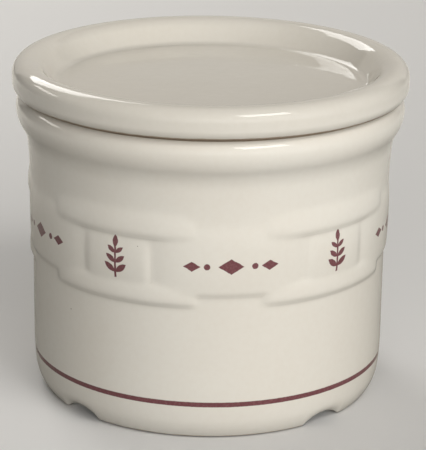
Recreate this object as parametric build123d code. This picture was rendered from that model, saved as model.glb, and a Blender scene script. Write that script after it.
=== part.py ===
from build123d import *
from math import asin, cos, degrees, radians, sin, tan
import os

# Small stoneware crock with a loose dished lid.
# Millimetres and degrees, +Z up, origin at the middle of the foot.
# Angles round the crock are counted from the front, which faces -Y, and grow towards +X.

# Wall, floor and inside of the crock
crock_height = 85.5         # table to the flat top of the rim
wall_radius = 50.0          # outside of the plain lower wall
wall_thickness = 5.6
mouth_draft = 0.8           # how much wider the inside is at the mouth than above the floor
mouth_edge = 1.6            # rounding of the mouth
floor_thickness = 5.4
inside_corner = 6.0         # rounding between the floor and the inner wall

# Foot
foot_undercut = 3.0         # how far the foot draws in below the wall
foot_curve_height = 14.5    # where the wall starts to draw in
foot_turn_height = 6.0      # where it turns under more quickly
foot_turn_inset = 0.5       # how far it has drawn in by then
foot_edge = 1.0             # rounding of the edge that meets the table
foot_ring_width = 6.0
foot_hollow = 3.2           # depth of the recess inside the foot ring
notch_count = 4
notch_width = 13.8          # drain notch across the foot ring, along the table
notch_height = 2.5

# Neck and rolled rim: flares beyond the lower wall, drops from the top of the rim
neck_flare = 0.7
cove_flare = 1.3            # where the neck runs into the cove under the rim
cove_drop = 14.0
rim_turn_flare = 3.0        # where the cove turns into the rim's rolled face
rim_turn_drop = 9.0
rim_overhang = 4.4          # the rim's widest line
rim_shoulder = 4.1          # drop to that line, and the rounding above it

# Woven band: a middle strip between two side strips, crossed by uprights that pass over and under
weave_repeats = 5
weave_turn = 6.9            # from the front to the middle of one wide panel
weave_drop = 35.2           # from the top of the rim down to the middle strip's centre line
weave_edge = 0.5            # rounding of the strips' edges
weave_root = 2.0            # how deep each strip is keyed into the wall
middle_strip_height = 17.2
middle_strip_width = 50.0   # angle over which the middle strip lies on top
middle_strip_proud = 1.05   # how far it stands out beyond the lower wall
middle_strip_dip = 0.3      # how much less its ends stand out
middle_strip_lean = 0.4     # how much less its lower edge stands out
middle_strip_belly = 4.3    # how far above its centre line it stands out most
middle_strip_run = 3.1      # how far its face runs up into the neck
middle_strip_fade = 0.45    # how far it has drawn back there
upright_width = 23.0
upright_proud = 1.0
upright_dip = 0.1
upright_top_lean = 0.2      # how far an upright draws in where it passes under the upper strip
upright_foot_lean = 0.3     # the same at the lower strip
side_strip_width = 51.0
side_strip_dip = 0.3
upper_strip_proud = 1.45
upper_strip_lap = 1.4       # how far the upper strip hangs over the middle strip
upper_strip_height = 8.4
upper_strip_lip = 2.6       # height of its lip, before the face draws back into the neck
upper_strip_lean = 0.9      # how far the face draws back above that
lower_strip_proud = 1.05
lower_strip_lap = 2.7       # how far the lower strip reaches up over the middle strip
lower_strip_height = 5.4
lower_strip_lip = 2.4
lower_strip_lean = 0.3

# Lid, with heights measured up from its seat on the rim
lid_overhang = 1.0          # beyond the rim's widest line
lid_height = 8.8            # up to the crest of its rolled edge
lid_edge_height = 4.9       # up to where its edge turns in towards the crest
lid_edge_band = 0.9         # upright band of the edge below that
lid_roll_inset = 3.5        # from the edge in to where the lower roll ends underneath
lid_gap = 0.6               # open joint between the rim and the roll
lid_gap_depth = 3.5         # from there in to the seat
lid_crest_rounding = 5.2    # from the crest into the slope of the dish
dish_slope = 52.0
dish_rounding = 3.0         # from the slope into the flat dish
dish_depth = 6.7            # from the crest down to the dish
plug_clearance = 0.8        # radial gap between the plug ring and the mouth
plug_depth = 4.0            # how far the plug ring reaches into the mouth
plug_ring_width = 7.0
plug_hollow = 1.4           # recess under the lid, inside the plug ring
plug_root = 1.0             # rounding between the plug ring and the seat
plug_edge = 1.2             # rounding of the plug ring's lower edge

# Radii and heights that follow from these
inside_radius = wall_radius - wall_thickness
mouth_radius = inside_radius + mouth_draft
foot_radius = wall_radius - foot_undercut
foot_turn_radius = wall_radius - foot_turn_inset
foot_ring_inside = foot_radius - foot_ring_width
floor_height = foot_hollow + floor_thickness
neck_radius = wall_radius + neck_flare
cove_radius = wall_radius + cove_flare
cove_height = crock_height - cove_drop
rim_turn_radius = wall_radius + rim_turn_flare
rim_turn_height = crock_height - rim_turn_drop
rim_radius = wall_radius + rim_overhang
rim_widest_height = crock_height - rim_shoulder
weave_height = crock_height - weave_drop
middle_strip_low = weave_height - middle_strip_height / 2
middle_strip_high = weave_height + middle_strip_height / 2
upper_strip_low = middle_strip_high - upper_strip_lap
lower_strip_high = middle_strip_low + lower_strip_lap
lower_strip_low = lower_strip_high - lower_strip_height
lid_radius = rim_radius + lid_overhang
lid_roll_radius = lid_radius - lid_roll_inset
lid_seat_radius = lid_roll_radius - lid_gap_depth
lid_gap_height = crock_height + lid_gap
lid_edge_top = crock_height + lid_edge_height
lid_crest_height = crock_height + lid_height
lid_crest_radius = lid_radius - (lid_height - lid_edge_height)
dish_height = lid_crest_height - dish_depth
plug_radius = mouth_radius - plug_clearance
plug_ring_inside = plug_radius - plug_ring_width
plug_low = crock_height - plug_depth
plug_ceiling = plug_low + plug_hollow
panel_angle = 360 / weave_repeats


def turned(lines):
    # A round piece from half of its section, drawn with radius across and height up.
    return revolve(Plane.XZ * make_face(lines), Axis.Z)


def towards(angle):
    # Turns what is drawn along +X to an angle round the crock.
    return Rot(0, 0, angle - 90)


def crown_offset(radius, dip, half_angle):
    # How far a strip's own axis lies from the crock's, so that its ends stand lower by the dip.
    end_radius = radius - dip
    return (radius**2 - end_radius**2) / (2 * (radius - end_radius * cos(radians(half_angle))))


def strip_segment(proud, dip, width, face_points, kept_sharp=0):
    # One crowned stretch of a strip, along +X.
    # Three face points say how far back its rounded face lies at which height, from the lower edge up.
    radius = wall_radius + proud
    offset = crown_offset(radius, dip, width / 2)
    own_radius = radius - offset
    own_half = width / 2 + degrees(asin(offset / own_radius * sin(radians(width / 2))))
    root = own_radius - proud - weave_root
    face = [(own_radius - back, height) for back, height in face_points]
    back_outline = Polyline(face[-1], (root, face[-1][1]), (root, face[0][1]), face[0])
    outline = ThreePointArc(*face) + back_outline
    segment = revolve(Plane.XZ * make_face(outline), Axis.Z, 2 * own_half)
    segment = Rot(0, 0, -own_half) * segment
    front_edges = segment.faces().sort_by(Axis.X)[-1].edges().sort_by(Axis.Z)
    rounded = front_edges[:len(front_edges) - kept_sharp]
    return Pos(offset, 0, 0) * fillet(rounded, weave_edge)


def crock_shell():
    # Half section of the vessel.
    # It runs from the underside and foot up the outside to the rim, then down inside to the floor.
    underside = Polyline(
        (0, floor_height),
        (0, foot_hollow),
        (foot_ring_inside, foot_hollow),
        (foot_ring_inside, 0),
        (foot_radius, 0))
    wall_low = (wall_radius, foot_curve_height)
    foot_curve = TangentArc(wall_low, (foot_turn_radius, foot_turn_height), tangent=(0, -1))
    foot_turn = TangentArc(foot_curve @ 1, (foot_radius, 0), tangent=foot_curve % 1)
    wall = Polyline(wall_low, (wall_radius, middle_strip_low), (neck_radius, middle_strip_high))
    neck = TangentArc(wall @ 1, (cove_radius, cove_height), tangent=(0, 1))
    rim_widest = (rim_radius, rim_widest_height)
    rim_face = TangentArc(rim_widest, (rim_turn_radius, rim_turn_height), tangent=(0, -1))
    cove = TangentArc(rim_face @ 1, (cove_radius, cove_height), tangent=rim_face % 1)
    shoulder = TangentArc(rim_widest, (rim_radius - rim_shoulder, crock_height), tangent=(0, 1))
    land = Line(shoulder @ 1, (mouth_radius + mouth_edge, crock_height))
    mouth = TangentArc(land @ 1, (mouth_radius, crock_height - mouth_edge), tangent=(-1, 0))
    inner_wall = Line(mouth @ 1, (inside_radius, floor_height + inside_corner))
    corner_end = (inside_radius - inside_corner, floor_height)
    corner = TangentArc(corner_end, inner_wall @ 1, tangent=(1, 0))
    floor = Line(corner_end, (0, floor_height))
    outside = foot_curve + foot_turn + wall + neck + cove + rim_face + shoulder
    inside = land + mouth + inner_wall + corner + floor
    shell = turned(underside + outside + inside)
    table_edges = shell.edges().filter_by(GeomType.CIRCLE).filter_by_position(Axis.Z, 0, 0)
    return fillet(table_edges.sort_by(SortBy.RADIUS)[-1], foot_edge)


def weave_segments():
    # The four kinds of pad that show where a strip or an upright lies on top, repeated round the crock.
    middle_face = [
        (middle_strip_lean, middle_strip_low),
        (0, weave_height + middle_strip_belly),
        (middle_strip_fade, middle_strip_high + middle_strip_run)]
    upright_face = [
        (upright_foot_lean, middle_strip_low),
        (0, weave_height),
        (upright_top_lean, middle_strip_high)]
    upper_face = [
        (0, upper_strip_low),
        (0, upper_strip_low + upper_strip_lip),
        (upper_strip_lean, upper_strip_low + upper_strip_height)]
    lower_face = [
        (0, lower_strip_low),
        (0, lower_strip_low + lower_strip_lip),
        (lower_strip_lean, lower_strip_high)]
    upright = strip_segment(upright_proud, upright_dip, upright_width, upright_face)
    # the upper edges of the rest draw back with hardly a corner to round
    middle = strip_segment(middle_strip_proud, middle_strip_dip, middle_strip_width, middle_face, 1)
    upper = strip_segment(upper_strip_proud, side_strip_dip, side_strip_width, upper_face, 1)
    lower = strip_segment(lower_strip_proud, side_strip_dip, side_strip_width, lower_face, 1)
    segments = []
    for panel in range(weave_repeats):
        panel_middle = weave_turn + panel * panel_angle
        between = panel_middle + panel_angle / 2
        segments.append(towards(panel_middle) * middle)
        segments += [towards(between) * segment for segment in (upright, upper, lower)]
    return segments


def foot_notches():
    # Round-topped cutters across the foot ring, one of them under the middle of an upright.
    arch_radius = ((notch_width / 2) ** 2 + notch_height**2) / (2 * notch_height)
    reach = foot_ring_width + foot_undercut
    cutter = Pos(foot_ring_inside + reach / 2, 0, notch_height - arch_radius) * Rot(0, 90, 0)
    cutter *= Cylinder(arch_radius, 2 * reach)
    first = weave_turn + panel_angle / 2
    return [towards(first + notch * 360 / notch_count) * cutter for notch in range(notch_count)]


def crock_body():
    return crock_shell() + weave_segments() - foot_notches()


def lid():
    # Half section of the lid: underside and plug ring, seat, open joint, rolled edge, then the dish.
    underside = Polyline(
        (0, dish_height),
        (0, plug_ceiling),
        (plug_ring_inside, plug_ceiling),
        (plug_ring_inside, plug_low),
        (plug_radius - plug_edge, plug_low))
    plug_rounding = TangentArc(underside @ 1, (plug_radius, plug_low + plug_edge), tangent=(1, 0))
    plug_side = Line(plug_rounding @ 1, (plug_radius, crock_height - plug_root))
    root_rounding = TangentArc(plug_side @ 1, (plug_radius + plug_root, crock_height), tangent=(0, 1))
    seat = Polyline(
        root_rounding @ 1,
        (lid_seat_radius, crock_height),
        (lid_seat_radius, lid_gap_height),
        (lid_roll_radius, lid_gap_height))
    edge_top = (lid_radius, lid_edge_top)
    edge_band = Line((lid_radius, lid_edge_top - lid_edge_band), edge_top)
    lower_roll = TangentArc(edge_band @ 0, (lid_roll_radius, lid_gap_height), tangent=(0, -1))
    upper_roll = TangentArc(edge_top, (lid_crest_radius, lid_crest_height), tangent=(0, 1))
    across = sin(radians(dish_slope))
    down = 1 - cos(radians(dish_slope))
    slope_top_radius = lid_crest_radius - lid_crest_rounding * across
    slope_top_height = lid_crest_height - lid_crest_rounding * down
    slope_low_height = dish_height + dish_rounding * down
    slope_run = (slope_top_height - slope_low_height) / tan(radians(dish_slope))
    slope_low_radius = slope_top_radius - slope_run
    dish_radius = slope_low_radius - dish_rounding * across
    inner_roll = TangentArc(upper_roll @ 1, (slope_top_radius, slope_top_height), tangent=(-1, 0))
    slope = Line(inner_roll @ 1, (slope_low_radius, slope_low_height))
    dish_curve = TangentArc((dish_radius, dish_height), slope @ 1, tangent=(1, 0))
    dish = Line((dish_radius, dish_height), (0, dish_height))
    lower_side = underside + plug_rounding + plug_side + root_rounding + seat
    rolled_edge = lower_roll + edge_band + upper_roll + inner_roll
    return turned(lower_side + rolled_edge + slope + dish_curve + dish)


os.makedirs("parts", exist_ok=True)
export_step(crock_body(), "parts/crock_body.step")
export_step(lid(), "parts/lid.step")
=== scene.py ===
import bmesh
import bpy
import cmath
import math
from mathutils import Matrix, Vector


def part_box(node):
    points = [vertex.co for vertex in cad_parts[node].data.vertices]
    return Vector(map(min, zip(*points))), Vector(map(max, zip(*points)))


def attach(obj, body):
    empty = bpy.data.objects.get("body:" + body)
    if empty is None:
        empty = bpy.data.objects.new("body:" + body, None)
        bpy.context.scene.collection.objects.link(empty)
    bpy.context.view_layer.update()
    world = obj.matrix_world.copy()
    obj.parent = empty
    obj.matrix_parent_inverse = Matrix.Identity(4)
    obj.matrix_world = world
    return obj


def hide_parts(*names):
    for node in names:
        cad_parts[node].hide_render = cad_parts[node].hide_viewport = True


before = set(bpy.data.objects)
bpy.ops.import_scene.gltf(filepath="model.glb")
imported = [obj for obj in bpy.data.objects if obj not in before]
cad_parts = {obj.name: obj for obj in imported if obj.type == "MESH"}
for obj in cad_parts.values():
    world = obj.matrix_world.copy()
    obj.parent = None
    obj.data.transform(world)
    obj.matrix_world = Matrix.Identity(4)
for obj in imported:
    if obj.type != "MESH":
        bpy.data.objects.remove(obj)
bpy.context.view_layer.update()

mm = 0.001  # sizes of the pieces are in millimetres and degrees, those of the studio in metres
bpy.context.scene.view_settings.view_transform = "Standard"


# node helpers, used in the geometry trees and in the materials

def feed(tree, value, socket):
    if isinstance(value, bpy.types.NodeSocket):
        tree.links.new(value, socket)
    else:
        socket.default_value = value


def calc(tree, operation, *values):
    node = tree.nodes.new("ShaderNodeMath")
    node.operation = operation
    for value, socket in zip(values, node.inputs):
        feed(tree, value, socket)
    return node.outputs[0]


def ease(tree, value, low, high):  # smooth step, 0 at low and 1 at high
    node = tree.nodes.new("ShaderNodeMapRange")
    node.interpolation_type = "SMOOTHSTEP"
    for name, given in (("Value", value), ("From Min", low), ("From Max", high)):
        feed(tree, given, node.inputs[name])
    return node.outputs["Result"]


def split(tree, vector):
    node = tree.nodes.new("ShaderNodeSeparateXYZ")
    feed(tree, vector, node.inputs[0])
    return node.outputs


def scaled(tree, vector, factor):
    node = tree.nodes.new("ShaderNodeVectorMath")
    node.operation = "SCALE"
    feed(tree, vector, node.inputs[0])
    feed(tree, factor, node.inputs["Scale"])
    return node.outputs[0]


def hypotenuse(tree, first, second):
    squares = [calc(tree, "MULTIPLY", side, side) for side in (first, second)]
    return calc(tree, "SQRT", calc(tree, "ADD", *squares))


def turnFromFront(tree, x, y):  # degrees round the axis, 0 in front and growing to the right
    return calc(tree, "DEGREES", calc(tree, "ARCTAN2", x, calc(tree, "MULTIPLY", y, -1.0)))


def newGroup(name, kind, inputs, outputs):  # inputs and outputs are {name: socket kind}
    tree = bpy.data.node_groups.new(name, kind)
    for side, sockets in (("INPUT", inputs), ("OUTPUT", outputs)):
        for socketName, socketKind in sockets.items():
            tree.interface.new_socket(socketName, in_out=side, socket_type="NodeSocket" + socketKind)
    return tree, tree.nodes.new("NodeGroupInput").outputs, tree.nodes.new("NodeGroupOutput").inputs


def place(tree, kind, group, **values):  # puts a group in a tree and feeds it
    node = tree.nodes.new(kind)
    node.node_tree = group
    for name, value in values.items():
        feed(tree, value, node.inputs[name])
    return node.outputs


# turned pieces: half a section, then a turn round the axis

def bendTo(path, radius, height, spacing, leave=None, arrive=None):
    # adds an arc that leaves or arrives at a heading, where 0 is outwards and 90 is up
    # without a heading it adds a straight run; the spacing is that of the points
    start, end = path[-1], complex(radius, height)
    chord = end - start
    lean = 0.0
    if leave is not None:
        lean = cmath.phase(chord / cmath.rect(1, math.radians(leave)))
    elif arrive is not None:
        lean = cmath.phase(cmath.rect(1, math.radians(arrive)) / chord)
    length = abs(chord) * (lean / math.sin(lean) if lean else 1)
    steps = max(1, round(length / spacing))
    for step in range(1, steps + 1):
        share = step / steps
        reach = math.sin(lean * share) / math.sin(lean) if lean else share
        path.append(start + chord * cmath.rect(reach, lean * (share - 1)))


def turnPiece(name, path, columns):
    form = bmesh.new()
    rings = []
    for point in path:
        radius, height = point.real * mm, point.imag * mm
        onAxis = radius < 1e-6  # one point closes the middle
        turns = [0] if onAxis else [2 * math.pi * column / columns for column in range(columns)]
        corners = [(radius * math.sin(turn), -radius * math.cos(turn), height) for turn in turns]
        rings.append([form.verts.new(corner) for corner in corners])
    for low, high in zip(rings, rings[1:]):
        for column in range(columns):
            corners = [low[column % len(low)], low[(column + 1) % columns % len(low)],
                       high[(column + 1) % columns % len(high)], high[column % len(high)]]
            form.faces.new(dict.fromkeys(corners))
    bmesh.ops.recalc_face_normals(form, faces=form.faces)
    for face in form.faces:
        face.smooth = True
    mesh = bpy.data.meshes.new(name)
    form.to_mesh(mesh)
    form.free()
    piece = bpy.data.objects.new(name, mesh)
    bpy.context.scene.collection.objects.link(piece)
    return piece


# crock: sizes repeated from the CAD section

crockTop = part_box("crock_body")[1].z / mm
crock = {
    "columns": 500,
    "rimRadius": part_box("crock_body")[1].x / mm,
    "wallRadius": 50.0,
    "insideRadius": 44.4,
    "mouthRadius": 45.2,
    "mouthEdge": 1.6,
    "floorHeight": 8.6,
    "insideCorner": 6.0,
    "footRadius": 47.0,
    "footEdgeRun": 0.48,     # how far the rounded table edge runs along each of its two sides
    "footHeading": 51.5,     # where the foot leaves that edge; 0 is outwards and 90 is up
    "footTurnRadius": 49.5,
    "footTurnHeight": 6.0,
    "footTurnHeading": 83.3,
    "footCurveHeight": 14.5,
    "footRingInside": 41.0,
    "footHollow": 3.2,
    "smallRounding": 0.6,
    "bandLow": 41.7,
    "bandHigh": 58.9,
    "fineReach": 5.0,        # how far under the band its close spacing starts
    "neckRadius": 50.7,
    "coveRadius": 51.3,
    "coveHeight": crockTop - 14.0,
    "rimTurnRadius": 53.0,
    "rimTurnHeight": crockTop - 9.0,
    "rimTurnHeading": 58.1,
    "rimShoulder": 4.1,
    "dryFoot": 0.45,         # bare clay on the foot ring, up to this height
    "seatDrop": 0.5,         # bare clay on the rim, from this far under its top
    "seatRise": 1.0,         # to this far above it
    "seatInset": 0.5,        # and from this far inside the mouth's rounded edge outwards
}


def crockPath():
    c = crock
    soft = c["smallRounding"]
    edge = cmath.rect(c["footEdgeRun"], math.radians(c["footHeading"]))
    path = [complex(0, c["footHollow"])]
    bendTo(path, c["footRingInside"] - soft, c["footHollow"], 6)
    bendTo(path, c["footRingInside"], c["footHollow"] - soft, 0.3, leave=0)
    bendTo(path, c["footRingInside"], soft, 0.7)
    bendTo(path, c["footRingInside"] + soft, 0, 0.3, leave=270)
    bendTo(path, c["footRadius"] - c["footEdgeRun"], 0, 0.9)
    bendTo(path, c["footRadius"] + edge.real, edge.imag, 0.2, leave=0)
    bendTo(path, c["footTurnRadius"], c["footTurnHeight"], 0.5, arrive=c["footTurnHeading"])
    bendTo(path, c["wallRadius"], c["footCurveHeight"], 0.7, arrive=90)
    bendTo(path, c["wallRadius"], c["bandLow"] - c["fineReach"], 2.0)
    bendTo(path, c["wallRadius"], c["bandLow"], 0.5)
    bendTo(path, c["neckRadius"], c["bandHigh"], 0.5)
    bendTo(path, c["coveRadius"], c["coveHeight"], 0.6, leave=90)
    bendTo(path, c["rimTurnRadius"], c["rimTurnHeight"], 0.5, arrive=c["rimTurnHeading"])
    bendTo(path, c["rimRadius"], crockTop - c["rimShoulder"], 0.5, arrive=90)
    bendTo(path, c["rimRadius"] - c["rimShoulder"], crockTop, 0.4, leave=90)
    bendTo(path, c["mouthRadius"] + c["mouthEdge"], crockTop, 1.0)
    bendTo(path, c["mouthRadius"], crockTop - c["mouthEdge"], 0.4, leave=180)
    bendTo(path, c["insideRadius"], c["floorHeight"] + c["insideCorner"], 6)
    bendTo(path, c["insideRadius"] - c["insideCorner"], c["floorHeight"], 0.9, leave=270)
    bendTo(path, 0, c["floorHeight"], 6)
    return path


# woven band and foot notches, laid over the turned crock by geometry nodes

weave = {
    "Wall Radius": crock["wallRadius"],
    "Skin": 1.0,                   # the relief is laid from this far inside the wall outwards
    "Panel Angle": 72.0,           # five wide panels round the crock
    "Turn": 6.9,                   # from the front to the middle of one wide panel
    "Long Edge": 0.9,              # how soft a strip's long edges are before the glaze fills them
    "End Edge": 2.0,               # the same at its ends, where it dives under
    "End Curl": 5.0,               # how much of the dip lies close to the ends
    "Glaze Passes": 3,             # how far the glaze rounds the relief off
    "Middle Width": 50.0,          # strips: angle on top, and how far out they stand
    "Middle Proud": 1.05,
    "Middle Dip": 0.6,             # how much less at the ends
    "Middle Low": crock["bandLow"],
    "Middle Crest": 54.6,          # height where the face stands out most
    "Middle High": 62.0,
    "Middle Low Lean": 0.4,        # how much less along the lower and the upper edge
    "Middle High Lean": 0.45,
    "Upright Width": 23.0,
    "Upright Proud": 1.05,
    "Upright Dip": 0.2,
    "Upright Low": crock["bandLow"],
    "Upright Crest": 50.3,
    "Upright High": crock["bandHigh"],
    "Upright Low Lean": 0.7,
    "Upright High Lean": 0.6,
    "Upper Width": 51.0,
    "Upper Proud": 1.36,
    "Upper Dip": 0.35,
    "Upper Low": 57.1,
    "Upper Crest": 58.7,
    "Upper High": 65.9,
    "Upper Low Lean": 0.22,
    "Upper High Lean": 0.93,
    "Lower Width": 51.0,
    "Lower Proud": 0.95,
    "Lower Dip": 0.4,
    "Lower Low": 38.6,
    "Lower Crest": 40.1,
    "Lower High": 44.4,
    "Lower Low Lean": 0.25,
    "Lower High Lean": 0.33,
    "Notch Angle": 90.0,           # four drain notches, one of them under an upright
    "Notch Turn": 42.9,
    "Notch Width": 13.8,
    "Notch Height": 2.5,
    "Notch Fade": 8.0,             # height over which the wall above a notch is squeezed
    "Ring Middle": (crock["footRingInside"] + crock["footRadius"]) / 2,
    "Ring Reach": 3.2,             # half the ring's width, with a margin
    "Foot Hollow": crock["footHollow"],
}


def stripPadGroup():
    # how far one stretch of strip stands out beyond the lower wall, and 0 outside it
    names = ["Across", "Height", "Half Width", "Proud", "Dip", "Low", "Crest", "High",
             "Low Lean", "High Lean", "Long Edge", "End Edge", "End Curl"]
    sockets = dict.fromkeys(names, "Float")
    tree, given, out = newGroup("stripPad", "GeometryNodeTree", sockets, {"Pad": "Float"})

    def fallAway(distance, reach, depth, curl=2.0):  # grows as a power of the distance, to depth at reach
        distance = calc(tree, "MAXIMUM", distance, 0.0)
        share = calc(tree, "DIVIDE", distance, calc(tree, "MAXIMUM", reach, 0.001))
        return calc(tree, "MULTIPLY", calc(tree, "POWER", share, curl), depth)

    aside = calc(tree, "ABSOLUTE", given["Across"])
    overCrest = calc(tree, "SUBTRACT", given["Height"], given["Crest"])
    falls = [fallAway(aside, given["Half Width"], given["Dip"], given["End Curl"]),
             fallAway(overCrest, calc(tree, "SUBTRACT", given["High"], given["Crest"]), given["High Lean"]),
             fallAway(calc(tree, "MULTIPLY", overCrest, -1.0),
                      calc(tree, "SUBTRACT", given["Crest"], given["Low"]), given["Low Lean"])]
    pad = given["Proud"]
    for fall in falls:
        pad = calc(tree, "SUBTRACT", pad, fall)
    insets = [(calc(tree, "SUBTRACT", given["Half Width"], aside), given["End Edge"]),
              (calc(tree, "SUBTRACT", given["Height"], given["Low"]), given["Long Edge"]),
              (calc(tree, "SUBTRACT", given["High"], given["Height"]), given["Long Edge"])]
    for inset, edge in insets:
        halfEdge = calc(tree, "MULTIPLY", edge, 0.5)
        window = ease(tree, inset, calc(tree, "MULTIPLY", halfEdge, -1.0), halfEdge)
        pad = calc(tree, "MULTIPLY", pad, window)
    feed(tree, pad, out["Pad"])
    return tree


def weaveReliefTree(glaze):
    sockets = {"Geometry": "Geometry", **dict.fromkeys(weave, "Float"), "Glaze Passes": "Int"}
    tree, given, out = newGroup("weaveRelief", "GeometryNodeTree", sockets, {"Geometry": "Geometry"})
    tree.is_modifier = True
    pad = stripPadGroup()
    position = tree.nodes.new("GeometryNodeInputPosition").outputs[0]
    x, y, height = split(tree, scaled(tree, position, 1 / mm))
    radius = hypotenuse(tree, x, y)
    turn = turnFromFront(tree, x, y)

    def wrapped(offset, period):  # angle from the nearest of what repeats
        half = calc(tree, "MULTIPLY", period, 0.5)
        angle = calc(tree, "SUBTRACT", turn, offset)
        return calc(tree, "WRAP", angle, half, calc(tree, "MULTIPLY", half, -1.0))

    def along(angle):  # arc length on the wall
        return calc(tree, "MULTIPLY", calc(tree, "RADIANS", angle), given["Wall Radius"])

    def strip(across, name):
        shared = {value: given[value] for value in ("Long Edge", "End Edge", "End Curl")}
        own = {value: given[f"{name} {value}"]
               for value in ("Proud", "Dip", "Low", "Crest", "High", "Low Lean", "High Lean")}
        halfWidth = calc(tree, "MULTIPLY", along(given[f"{name} Width"]), 0.5)
        values = {"Across": across, "Height": height, "Half Width": halfWidth, **own, **shared}
        return place(tree, "GeometryNodeGroup", pad, **values)["Pad"]

    onPanel = along(wrapped(given["Turn"], given["Panel Angle"]))
    between = calc(tree, "ADD", given["Turn"], calc(tree, "MULTIPLY", given["Panel Angle"], 0.5))
    onUpright = along(wrapped(between, given["Panel Angle"]))
    relief = strip(onPanel, "Middle")
    for name in ("Upright", "Upper", "Lower"):
        relief = calc(tree, "MAXIMUM", relief, strip(onUpright, name))
    flare = calc(tree, "MAXIMUM", calc(tree, "SUBTRACT", radius, given["Wall Radius"]), 0.0)
    relief = calc(tree, "MAXIMUM", calc(tree, "SUBTRACT", relief, flare), 0.0)
    skinStart = calc(tree, "SUBTRACT", given["Wall Radius"], given["Skin"])
    relief = calc(tree, "MULTIPLY", relief, calc(tree, "GREATER_THAN", radius, skinStart))
    blur = tree.nodes.new("GeometryNodeBlurAttribute")
    feed(tree, relief, blur.inputs["Value"])
    feed(tree, given["Glaze Passes"], blur.inputs["Iterations"])
    softRelief = blur.outputs["Value"]

    # notches: the foot ring is lifted to a round arch, and the wall above it squeezed
    aside = calc(tree, "MULTIPLY", radius, calc(tree, "SINE", calc(
        tree, "RADIANS", wrapped(given["Notch Turn"], given["Notch Angle"]))))
    halfNotch = calc(tree, "MULTIPLY", given["Notch Width"], 0.5)
    squares = calc(tree, "ADD", calc(tree, "MULTIPLY", halfNotch, halfNotch),
                   calc(tree, "MULTIPLY", given["Notch Height"], given["Notch Height"]))
    archRadius = calc(tree, "DIVIDE", squares, calc(tree, "MULTIPLY", given["Notch Height"], 2.0))
    rise = calc(tree, "SUBTRACT", calc(tree, "MULTIPLY", archRadius, archRadius),
                calc(tree, "MULTIPLY", aside, aside))
    arch = calc(tree, "SQRT", calc(tree, "MAXIMUM", rise, 0.0))
    arch = calc(tree, "ADD", calc(tree, "SUBTRACT", arch, archRadius), given["Notch Height"])
    outerHalf = calc(tree, "GREATER_THAN", radius, given["Ring Middle"])
    fade = calc(tree, "MULTIPLY_ADD", calc(tree, "SUBTRACT", given["Notch Fade"], given["Foot Hollow"]),
                outerHalf, given["Foot Hollow"])
    share = calc(tree, "SUBTRACT", 1.0, calc(tree, "DIVIDE", height, fade))
    share = calc(tree, "POWER", calc(tree, "MAXIMUM", share, 0.0), calc(tree, "ADD", outerHalf, 1.0))
    ringStart = calc(tree, "SUBTRACT", given["Ring Middle"], given["Ring Reach"])
    onRing = calc(tree, "GREATER_THAN", radius, ringStart)
    lift = calc(tree, "MULTIPLY", calc(tree, "MAXIMUM", arch, 0.0), calc(tree, "MULTIPLY", share, onRing))

    unit = calc(tree, "DIVIDE", calc(tree, "MULTIPLY", softRelief, mm), calc(tree, "MAXIMUM", radius, 1.0))
    offset = tree.nodes.new("ShaderNodeCombineXYZ")
    feed(tree, calc(tree, "MULTIPLY", x, unit), offset.inputs[0])
    feed(tree, calc(tree, "MULTIPLY", y, unit), offset.inputs[1])
    feed(tree, calc(tree, "MULTIPLY", lift, mm), offset.inputs[2])

    # where the glaze lies thick in a corner, or thin over an edge
    store = tree.nodes.new("GeometryNodeStoreNamedAttribute")
    store.inputs["Name"].default_value = "glazePool"
    feed(tree, given["Geometry"], store.inputs["Geometry"])
    feed(tree, calc(tree, "SUBTRACT", softRelief, relief), store.inputs["Value"])
    move = tree.nodes.new("GeometryNodeSetPosition")
    feed(tree, store.outputs[0], move.inputs["Geometry"])
    feed(tree, offset.outputs[0], move.inputs["Offset"])
    real = tree.nodes.new("GeometryNodeRealizeInstances")
    feed(tree, move.outputs[0], real.inputs[0])
    coat = tree.nodes.new("GeometryNodeSetMaterial")
    feed(tree, real.outputs[0], coat.inputs["Geometry"])
    coat.inputs["Material"].default_value = glaze
    feed(tree, coat.outputs[0], out["Geometry"])
    return tree


def layWeave(piece, glaze):
    tree = weaveReliefTree(glaze)
    modifier = piece.modifiers.new("weave", "NODES")
    modifier.node_group = tree
    for socket in tree.interface.items_tree:
        if socket.in_out == "INPUT" and socket.name in weave:
            modifier[socket.identifier] = weave[socket.name]
    bpy.context.view_layer.update()
    evaluated = piece.evaluated_get(bpy.context.evaluated_depsgraph_get())
    plain = bpy.data.meshes.new_from_object(evaluated)
    piece.modifiers.remove(modifier)
    piece.data = plain
    plain.name = piece.name


# lid: sizes repeated from the CAD section, with a fuller lower edge

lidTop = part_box("lid")[1].z / mm
lid = {
    "columns": 360,
    "radius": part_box("lid")[1].x / mm,
    "crestInset": 3.9,
    "edgeTop": crockTop + 4.9,
    "edgeBand": 2.0,         # upright band between the upper and the lower roll
    "rollRadius": 54.3,      # where the lower roll breaks off, over the open joint
    "gap": 0.45,             # height of that joint
    "seatRadius": 48.4,
    "crestRounding": 5.6,
    "dishSlope": 52.0,
    "dishRounding": 2.5,
    "dishHeight": lidTop - 6.7,
    "fineReach": 6.0,        # how far into the dish its close spacing goes on
    "plugRadius": 44.4,
    "plugLow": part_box("lid")[0].z / mm,
    "plugEdge": 1.2,
    "plugRoot": 1.0,
    "plugRingInside": 37.4,
    "plugHollow": 1.4,
    "smallRounding": 0.5,
    "dryRing": 0.35,         # bare clay under the plug, up to this far above its foot
    "seatMargin": 0.5,       # bare clay on the seat, with this much above and below it
}


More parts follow.
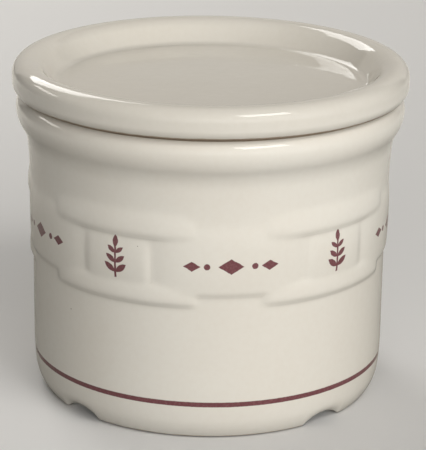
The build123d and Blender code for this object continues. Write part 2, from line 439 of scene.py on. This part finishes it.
def lidPath():
    s = lid
    soft = s["smallRounding"]
    ceiling = s["plugLow"] + s["plugHollow"]
    crestRadius = s["radius"] - s["crestInset"]
    path = [complex(0, ceiling)]
    bendTo(path, s["plugRingInside"] - soft, ceiling, 6)
    bendTo(path, s["plugRingInside"], ceiling - soft, 0.25, leave=0)
    bendTo(path, s["plugRingInside"], s["plugLow"] + soft, 0.4)
    bendTo(path, s["plugRingInside"] + soft, s["plugLow"], 0.25, leave=270)
    bendTo(path, s["plugRadius"] - s["plugEdge"], s["plugLow"], 1.0)
    bendTo(path, s["plugRadius"], s["plugLow"] + s["plugEdge"], 0.3, leave=0)
    bendTo(path, s["plugRadius"], crockTop - s["plugRoot"], 0.6)
    bendTo(path, s["plugRadius"] + s["plugRoot"], crockTop, 0.3, leave=90)
    bendTo(path, s["seatRadius"], crockTop, 0.8)
    bendTo(path, s["seatRadius"], crockTop + s["gap"], 0.3)
    bendTo(path, s["rollRadius"], crockTop + s["gap"], 0.5)
    bendTo(path, s["radius"], s["edgeTop"] - s["edgeBand"], 0.3, arrive=90)
    bendTo(path, s["radius"], s["edgeTop"], 0.45)
    bendTo(path, crestRadius, lidTop, 0.3, leave=90)
    slope = math.radians(s["dishSlope"])
    turned = complex(math.sin(slope), 1 - math.cos(slope))
    slopeTop = complex(crestRadius, lidTop) - s["crestRounding"] * turned
    lowHeight = s["dishHeight"] + s["dishRounding"] * (1 - math.cos(slope))
    lowRadius = slopeTop.real - (slopeTop.imag - lowHeight) / math.tan(slope)
    dishRadius = lowRadius - s["dishRounding"] * math.sin(slope)
    bendTo(path, slopeTop.real, slopeTop.imag, 0.2, leave=180)
    bendTo(path, lowRadius, lowHeight, 0.6)
    bendTo(path, dishRadius, s["dishHeight"], 0.2, arrive=180)
    bendTo(path, dishRadius - s["fineReach"], s["dishHeight"], 1.0)
    bendTo(path, 0, s["dishHeight"], 5)
    return path


# glaze and print

glazeColours = {
    "ivory": (0.79, 0.75, 0.665, 1),
    "warmIvory": (0.76, 0.71, 0.62, 1),
    # the lid's two ivories are a little darker than the crock's: painted shade for the lesser light that
    # reaches the lid's height
    "lidShadedIvory": (0.735, 0.695, 0.615, 1),
    "lidShadedWarmIvory": (0.705, 0.66, 0.575, 1),
    "pooled": (0.65, 0.60, 0.51, 1),
    "speck": (0.22, 0.15, 0.09, 1),
    "dryClay": (0.60, 0.51, 0.40, 1),
    "burgundy": (0.165, 0.056, 0.062, 1),
    "thinBurgundy": (0.23, 0.09, 0.094, 1),
}
glazeLook = {
    "ior": 1.52,
    "driftScale": 0.022,         # noise scales are per millimetre
    "driftRange": (0.35, 0.65),
    "mottleScale": 0.6,
    "mottleRange": (0.3, 0.75),
    "mottleShare": 0.35,         # share of the warm tone; drift is the rest
    "speckScale": 0.16,
    "speckShare": 0.06,          # share of the cells that hold a speck
    "speckLeast": 0.015,
    "speckSpread": 0.035,
    "speckDepth": 0.75,
    "roughness": 0.03,
    "roughnessMottle": 0.03,
    "swellScale": 0.07,
    "rippleScale": 0.35,
    "rippleShare": 0.35,
    "bumpStrength": 0.25,
    "bumpDepth": 0.3,
    "gritScale": 2.2,            # bare clay
    "gritStain": 0.35,
    "gritBump": 0.6,
    "clayRoughness": 0.8,
    "raggedScale": 0.25,         # how the edge of the glaze wanders
    "raggedReach": 0.5,
    "edgeSoft": 0.06,
    "seatSoft": 0.1,
    "jointShadeReach": (50.0, 51.2),  # radii between which painted shade darkens the bare seat towards the joint
    "jointShadeDepth": 0.5,
    "poolRange": (0.02, 0.3),    # how much glaze has run into a corner
    "poolDepth": 0.8,
    "inkScale": 1.6,
    "inkRange": (0.4, 0.8),      # where the print is thin
}


def blendColour(tree, mask, under, over):
    node = tree.nodes.new("ShaderNodeMix")
    node.data_type = "RGBA"
    feed(tree, mask, node.inputs[0])
    feed(tree, under, node.inputs[6])
    feed(tree, over, node.inputs[7])
    return node.outputs[2]


def noise(tree, where, scale, detail=2.0):
    node = tree.nodes.new("ShaderNodeTexNoise")
    feed(tree, where, node.inputs["Vector"])
    node.inputs["Scale"].default_value = scale
    node.inputs["Detail"].default_value = detail
    return node.outputs[0]


def glazeSkinGroup():
    # tone, gloss and ripple of a fired glaze; Place is in millimetres
    g = glazeLook
    inputs = {"Place": "Vector", "Clear": "Color", "Warm": "Color", "Speck": "Color"}
    outputs = {"Tone": "Color", "Gloss": "Float", "Ripple": "Float"}
    tree, given, out = newGroup("glazeSkin", "ShaderNodeTree", inputs, outputs)
    drift = ease(tree, noise(tree, given["Place"], g["driftScale"], 3.0), *g["driftRange"])
    mottle = ease(tree, noise(tree, given["Place"], g["mottleScale"], 3.0), *g["mottleRange"])
    warmth = calc(tree, "MULTIPLY_ADD", mottle, g["mottleShare"],
                  calc(tree, "MULTIPLY", drift, 1 - g["mottleShare"]))
    tone = blendColour(tree, warmth, given["Clear"], given["Warm"])
    cells = tree.nodes.new("ShaderNodeTexVoronoi")
    feed(tree, given["Place"], cells.inputs["Vector"])
    cells.inputs["Scale"].default_value = g["speckScale"]
    lot = split(tree, cells.outputs["Color"])
    size = calc(tree, "MULTIPLY_ADD", lot[1], g["speckSpread"], g["speckLeast"])
    chosen = calc(tree, "LESS_THAN", lot[0], g["speckShare"])
    dot = ease(tree, cells.outputs["Distance"], size, calc(tree, "MULTIPLY", size, 0.5))
    speck = calc(tree, "MULTIPLY", calc(tree, "MULTIPLY", dot, chosen), g["speckDepth"])
    feed(tree, blendColour(tree, speck, tone, given["Speck"]), out["Tone"])
    feed(tree, calc(tree, "MULTIPLY_ADD", mottle, g["roughnessMottle"], g["roughness"]), out["Gloss"])
    swell = noise(tree, given["Place"], g["swellScale"], 1.0)
    ripple = noise(tree, given["Place"], g["rippleScale"], 1.0)
    feed(tree, calc(tree, "MULTIPLY_ADD", ripple, g["rippleShare"], swell), out["Ripple"])
    return tree


glazeSkin = glazeSkinGroup()


def glazed(name, clear, warm, dryBelow, seatLow, seatHigh, seatInner, decorate=None):
    # ivory glaze, and bare clay where the piece stood in the kiln and where lid and rim meet; the bare seat
    # also deepens the joint line, and towards the joint it is darkened further as painted shade
    g = glazeLook
    material = bpy.data.materials.new(name)
    material.use_nodes = True
    tree = material.node_tree
    shader = tree.nodes["Principled BSDF"]
    shader.inputs["IOR"].default_value = g["ior"]
    where = scaled(tree, tree.nodes.new("ShaderNodeTexCoord").outputs["Object"], 1 / mm)
    skin = place(tree, "ShaderNodeGroup", glazeSkin, Place=where, Clear=glazeColours[clear],
                 Warm=glazeColours[warm], Speck=glazeColours["speck"])
    tone = decorate(tree, where, skin["Tone"]) if decorate else skin["Tone"]

    x, y, height = split(tree, where)
    radius = hypotenuse(tree, x, y)
    ragged = calc(tree, "MULTIPLY_ADD", noise(tree, where, g["raggedScale"]), g["raggedReach"],
                  -g["raggedReach"] / 2)
    wandering = calc(tree, "SUBTRACT", height, ragged)
    foot = ease(tree, wandering, dryBelow + g["edgeSoft"], dryBelow - g["edgeSoft"])
    seat = calc(tree, "MULTIPLY", ease(tree, height, seatLow - g["edgeSoft"], seatLow + g["edgeSoft"]),
                ease(tree, wandering, seatHigh + g["seatSoft"], seatHigh - g["seatSoft"]))
    seat = calc(tree, "MULTIPLY", seat, calc(tree, "GREATER_THAN", radius, seatInner))
    dry = calc(tree, "MAXIMUM", foot, seat)
    grit = noise(tree, where, g["gritScale"], 4.0)
    # painted shade: the bare seat darkens towards the open joint between lid and rim, mixed with the clay's
    # own grit
    jointShade = calc(tree, "MULTIPLY", seat, ease(tree, radius, *g["jointShadeReach"]))
    gritAndJointShade = calc(tree, "MULTIPLY_ADD", grit, g["gritStain"], calc(tree, "MULTIPLY", jointShade, g["jointShadeDepth"]))
    clay = blendColour(tree, gritAndJointShade, glazeColours["dryClay"], glazeColours["speck"])
    feed(tree, blendColour(tree, dry, tone, clay), shader.inputs["Base Color"])

    rougher = calc(tree, "SUBTRACT", g["clayRoughness"], skin["Gloss"])
    feed(tree, calc(tree, "MULTIPLY_ADD", rougher, dry, skin["Gloss"]), shader.inputs["Roughness"])
    bump = tree.nodes.new("ShaderNodeBump")
    bump.inputs["Strength"].default_value = g["bumpStrength"]
    bump.inputs["Distance"].default_value = g["bumpDepth"] * mm
    coarse = calc(tree, "MULTIPLY", grit, dry)
    feed(tree, calc(tree, "MULTIPLY_ADD", coarse, g["gritBump"], skin["Ripple"]), bump.inputs["Height"])
    feed(tree, bump.outputs[0], shader.inputs["Normal"])
    return material


prints = {
    "bandHeight": 50.3,        # centre line of the woven band
    "panelAngle": weave["Panel Angle"],
    "turn": weave["Turn"],
    "softEdge": 0.16,
    "skin": 2.5,               # the print reaches this far inside the wall's radius
    "wander": 0.35,            # how far the printed outline wanders
    "wanderScale": 0.9,
    "lozenge": (3.4, 2.2),     # half length and half height of the middle lozenge on a wide panel
    "dotAt": 6.3,
    "dotRadius": 0.85,
    "sideLozengeAt": 10.3,
    "sideLozenge": (2.3, 1.4),
    "stemLow": -5.4,           # sprig on an upright: heights from the band's centre line
    "stemHalf": 0.3,
    "stemSoft": 0.1,
    "leafStart": -3.9,
    "leafStep": 2.7,
    "leafPairs": 3,
    "leafLength": 4.1,
    "leafHalf": 0.85,
    "leafSpread": 52.0,        # angle between leaf and stem
    "leafShrink": 0.14,        # how much smaller each pair is than the one below it
    "tipStart": 3.0,
    "tipLength": 3.6,
    "tipHalf": 0.8,
    "stripeHeight": 10.56,
    "stripeHalf": 0.7,
    "stripeWobble": 0.25,
    "stripeWobbleScale": 0.03,
    "stripeWander": 0.35,      # share of the wander that the stripe's edges take
}


def printMask(tree, where):
    p = prints
    x, y, z = split(tree, where)
    turn = turnFromFront(tree, x, y)

    def unsteady(scale, detail, reach):
        return calc(tree, "MULTIPLY", calc(tree, "SUBTRACT", noise(tree, where, scale, detail), 0.5), reach)

    wander = unsteady(p["wanderScale"], 2.0, p["wander"])
    up = calc(tree, "ADD", calc(tree, "SUBTRACT", z, p["bandHeight"]), wander)

    def aside(offset):  # millimetres along the wall from the nearest panel or upright
        half = p["panelAngle"] / 2
        angle = calc(tree, "WRAP", calc(tree, "SUBTRACT", turn, offset), half, -half)
        return calc(tree, "ADD", calc(tree, "MULTIPLY", angle, math.radians(crock["wallRadius"])), wander)

    def inside(distance):  # 1 within an outline, 0 outside it
        return ease(tree, distance, p["softEdge"] / 2, -p["softEdge"] / 2)

    def lozenge(across, halfLength, halfHeight):
        share = calc(tree, "ADD", calc(tree, "DIVIDE", calc(tree, "ABSOLUTE", across), halfLength),
                     calc(tree, "DIVIDE", calc(tree, "ABSOLUTE", up), halfHeight))
        depth = halfLength * halfHeight / math.hypot(halfLength, halfHeight)
        return inside(calc(tree, "MULTIPLY", calc(tree, "SUBTRACT", share, 1.0), depth))

    def leaf(alongLeaf, acrossLeaf, length, halfWidth):
        share = calc(tree, "DIVIDE", alongLeaf, length)
        belly = calc(tree, "MULTIPLY", share, calc(tree, "SUBTRACT", 1.0, share))
        return inside(calc(tree, "SUBTRACT", calc(tree, "ABSOLUTE", acrossLeaf),
                           calc(tree, "MULTIPLY", belly, 4 * halfWidth)))

    # wide panels: a lozenge between two dots and two smaller lozenges
    onPanel = aside(p["turn"])
    mirrored = calc(tree, "ABSOLUTE", onPanel)
    fromDot = hypotenuse(tree, calc(tree, "SUBTRACT", mirrored, p["dotAt"]), up)
    marks = [lozenge(onPanel, *p["lozenge"]), inside(calc(tree, "SUBTRACT", fromDot, p["dotRadius"])),
             lozenge(calc(tree, "SUBTRACT", mirrored, p["sideLozengeAt"]), *p["sideLozenge"])]

    # uprights: a small sprig with leaves in pairs
    onUpright = aside(p["turn"] + p["panelAngle"] / 2)
    outwards = calc(tree, "ABSOLUTE", onUpright)
    climb = calc(tree, "SUBTRACT", up, p["leafStart"])
    pair = calc(tree, "FLOOR", calc(tree, "DIVIDE", climb, p["leafStep"]))
    growth = calc(tree, "DIVIDE", 1.0, calc(tree, "MULTIPLY_ADD", pair, -p["leafShrink"], 1.0))
    fromNode = calc(tree, "SUBTRACT", climb, calc(tree, "MULTIPLY", pair, p["leafStep"]))
    fromNode = calc(tree, "MULTIPLY", fromNode, growth)
    outwardsGrown = calc(tree, "MULTIPLY", outwards, growth)
    sine, cosine = math.sin(math.radians(p["leafSpread"])), math.cos(math.radians(p["leafSpread"]))
    alongLeaf = calc(tree, "MULTIPLY_ADD", outwardsGrown, sine, calc(tree, "MULTIPLY", fromNode, cosine))
    acrossLeaf = calc(tree, "MULTIPLY_ADD", outwardsGrown, cosine, calc(tree, "MULTIPLY", fromNode, -sine))
    isPair = calc(tree, "MULTIPLY", calc(tree, "GREATER_THAN", pair, -0.5),
                  calc(tree, "LESS_THAN", pair, p["leafPairs"] - 0.5))
    leaves = leaf(alongLeaf, acrossLeaf, p["leafLength"], p["leafHalf"])
    marks.append(calc(tree, "MULTIPLY", leaves, isPair))
    marks.append(leaf(calc(tree, "SUBTRACT", up, p["tipStart"]), onUpright, p["tipLength"], p["tipHalf"]))
    stemStart = ease(tree, up, p["stemLow"] - p["stemSoft"], p["stemLow"] + p["stemSoft"])
    stemEnds = calc(tree, "MULTIPLY", stemStart,
                    calc(tree, "LESS_THAN", up, p["tipStart"] + p["tipLength"] / 2))
    marks.append(calc(tree, "MULTIPLY", inside(calc(tree, "SUBTRACT", outwards, p["stemHalf"])), stemEnds))

    # banded stripe above the foot
    wobble = unsteady(p["stripeWobbleScale"], 1.0, p["stripeWobble"])
    overStripe = calc(tree, "ADD", calc(tree, "SUBTRACT", z, p["stripeHeight"]), wobble)
    fromEdge = calc(tree, "SUBTRACT", calc(tree, "ABSOLUTE", overStripe), p["stripeHalf"])
    marks.append(inside(calc(tree, "ADD", fromEdge, calc(tree, "MULTIPLY", wander, p["stripeWander"]))))
    mask = marks[0]
    for mark in marks[1:]:
        mask = calc(tree, "MAXIMUM", mask, mark)
    onOutside = calc(tree, "GREATER_THAN", hypotenuse(tree, x, y), crock["wallRadius"] - p["skin"])
    return calc(tree, "MULTIPLY", mask, onOutside)


def crockDecoration(tree, where, tone):
    # glaze thick in the corners of the weave, then the print
    g = glazeLook
    pool = tree.nodes.new("ShaderNodeAttribute")
    pool.attribute_name = "glazePool"
    thick = calc(tree, "MULTIPLY", ease(tree, pool.outputs["Fac"], *g["poolRange"]), g["poolDepth"])
    tone = blendColour(tree, thick, tone, glazeColours["pooled"])
    thin = ease(tree, noise(tree, where, g["inkScale"], 3.0), *g["inkRange"])
    ink = blendColour(tree, thin, glazeColours["burgundy"], glazeColours["thinBurgundy"])
    return blendColour(tree, printMask(tree, where), tone, ink)


crockGlaze = glazed(
    "crockGlaze", "ivory", "warmIvory", dryBelow=crock["dryFoot"],
    seatLow=crockTop - crock["seatDrop"], seatHigh=crockTop + crock["seatRise"],
    seatInner=crock["mouthRadius"] + crock["mouthEdge"] - crock["seatInset"], decorate=crockDecoration)
lidGlaze = glazed(
    "lidGlaze", "lidShadedIvory", "lidShadedWarmIvory", dryBelow=lid["plugLow"] + lid["dryRing"],
    seatLow=crockTop - lid["seatMargin"], seatHigh=crockTop + lid["gap"] + lid["seatMargin"],
    seatInner=lid["plugRadius"] + lid["plugRoot"])
print("glazes ready")

vessel = turnPiece("crockVessel", crockPath(), crock["columns"])
layWeave(vessel, crockGlaze)
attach(vessel, "crock")
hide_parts("crock_body")
print("crock turned and woven,", len(vessel.data.polygons), "faces")

cover = turnPiece("crockLid", lidPath(), lid["columns"])
cover.data.materials.append(lidGlaze)
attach(cover, "lid")
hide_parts("lid")
print("lid turned,", len(cover.data.polygons), "faces")


# stage, light and camera

studio = {
    "floorSize": 6.0,
    "floorDrop": 0.0002,
    "floorRoughness": 0.7,
    "floorColour": (0.80, 0.79, 0.77, 1),
    "floorNear": (0.42, 0.40, 0.35, 1),      # how the glaze mirrors the floor close to the crock
    "floorFar": (0.98, 0.95, 0.87, 1),       # and farther off
    "floorReach": (0.12, 0.30),              # distances from the axis for those two
    "floorBounce": (0.15, 0.145, 0.135, 1),  # what the floor throws back onto the crock
    "backdropColour": (0.62, 0.62, 0.61, 1),
    "airColour": (0.07, 0.07, 0.07, 1),    # light from all round
    "glowColour": (3.7, 3.7, 3.7, 1),      # wide soft light from the front, a little to the right
    "glowSheen": 0.3,                      # share of it that the glaze mirrors
    "glowFrom": (0.365, -0.931, 0),
    "glowFlat": 1.5,                       # how much wider than high the glow is
    "glowEdge": 0.375,                     # cosine of the angle at which the glow has faded out
    "aim": (0, 0, 0.05),
    "lamps": {  # direction from the crock, distance, width and height, power, colour
        "frontBox": ((0.40, -0.53, 0.745), 1.0, (0.42, 0.23), 2.2, (1, 0.98, 0.95)),
        "backBox": ((-0.392, 0.665, 0.636), 1.0, (0.46, 0.44), 2.8, (1, 0.98, 0.95)),
        "sideBox": ((-0.82, 0.37, 0.437), 1.0, (0.40, 0.10), 0.5, (1, 0.95, 0.88)),
        "backCard": ((0, 0.95, 0.31), 1.3, (1.8, 0.8), 2.4, (1, 0.93, 0.83)),
    },
}
view = {
    "lens": 176.0,           # millimetres
    "sensor": 36.0,          # along the picture's longer side
    "clipStart": 0.01,
    "place": (0, -0.59687, 0.24294),
    "pitch": 18.561,         # degrees down
    "roll": 0.784,
    "shift": (0.0096, 0.0191),
}


def floorPlane():
    half = studio["floorSize"] / 2
    mesh = bpy.data.meshes.new("floor")
    corners = [(-half, -half), (half, -half), (half, half), (-half, half)]
    mesh.from_pydata([(*corner, -studio["floorDrop"]) for corner in corners], [], [(0, 1, 2, 3)])
    floor = bpy.data.objects.new("floor", mesh)
    bpy.context.scene.collection.objects.link(floor)
    material = bpy.data.materials.new("floorPaint")
    material.use_nodes = True
    tree = material.node_tree
    shader = tree.nodes["Principled BSDF"]
    rays = tree.nodes.new("ShaderNodeLightPath").outputs
    x, y, z = split(tree, tree.nodes.new("ShaderNodeTexCoord").outputs["Object"])
    far = ease(tree, hypotenuse(tree, x, y), *studio["floorReach"])
    mirrored = blendColour(tree, far, studio["floorNear"], studio["floorFar"])
    hidden = blendColour(tree, rays["Is Glossy Ray"], studio["floorBounce"], mirrored)
    seen = blendColour(tree, rays["Is Camera Ray"], hidden, studio["floorColour"])
    feed(tree, seen, shader.inputs["Base Color"])
    shader.inputs["Roughness"].default_value = studio["floorRoughness"]
    mesh.materials.append(material)


def studioAir():
    world = bpy.data.worlds.new("studioAir")
    world.use_nodes = True
    tree = world.node_tree
    steps = {}
    for name in ("MULTIPLY", "NORMALIZE", "DOT_PRODUCT"):
        steps[name] = tree.nodes.new("ShaderNodeVectorMath")
        steps[name].operation = name
    feed(tree, tree.nodes.new("ShaderNodeTexCoord").outputs["Generated"], steps["MULTIPLY"].inputs[0])
    feed(tree, (1, 1, studio["glowFlat"]), steps["MULTIPLY"].inputs[1])
    feed(tree, steps["MULTIPLY"].outputs[0], steps["NORMALIZE"].inputs[0])
    feed(tree, steps["NORMALIZE"].outputs[0], steps["DOT_PRODUCT"].inputs[0])
    feed(tree, Vector(studio["glowFrom"]).normalized(), steps["DOT_PRODUCT"].inputs[1])
    glow = ease(tree, steps["DOT_PRODUCT"].outputs["Value"], studio["glowEdge"], 1.0)
    rays = tree.nodes.new("ShaderNodeLightPath").outputs
    sheen = calc(tree, "MULTIPLY_ADD", rays["Is Glossy Ray"], studio["glowSheen"] - 1, 1.0)
    glow = calc(tree, "MULTIPLY", glow, sheen)
    light = blendColour(tree, glow, studio["airColour"], studio["glowColour"])
    feed(tree, blendColour(tree, rays["Is Camera Ray"], light, studio["backdropColour"]),
         tree.nodes["Background"].inputs["Color"])
    bpy.context.scene.world = world


def hangLamps():
    aim = Vector(studio["aim"])
    for name, (direction, distance, size, power, colour) in studio["lamps"].items():
        lamp = bpy.data.lights.new(name + "Lamp", "AREA")
        lamp.shape = "RECTANGLE"
        lamp.size, lamp.size_y = size
        lamp.energy = power
        lamp.color = colour
        lampObject = bpy.data.objects.new(name + "Lamp", lamp)
        away = Vector(direction).normalized()
        lampObject.location = aim + away * distance
        lampObject.rotation_euler = away.to_track_quat("Z", "Y").to_euler()
        lampObject.visible_camera = False
        bpy.context.scene.collection.objects.link(lampObject)


def setCamera():
    camera = bpy.data.cameras.new("photoCamera")
    camera.lens = view["lens"]
    camera.sensor_width = view["sensor"]
    camera.shift_x, camera.shift_y = view["shift"]
    camera.clip_start = view["clipStart"]
    cameraObject = bpy.data.objects.new("photoCamera", camera)
    tilt = Matrix.Rotation(math.radians(90 - view["pitch"]), 4, "X")
    roll = Matrix.Rotation(math.radians(view["roll"]), 4, "Z")
    cameraObject.matrix_world = Matrix.Translation(view["place"]) @ tilt @ roll
    bpy.context.scene.collection.objects.link(cameraObject)
    bpy.context.scene.camera = cameraObject


floorPlane()
studioAir()
hangLamps()
setCamera()
print("stage, lamps and camera set")
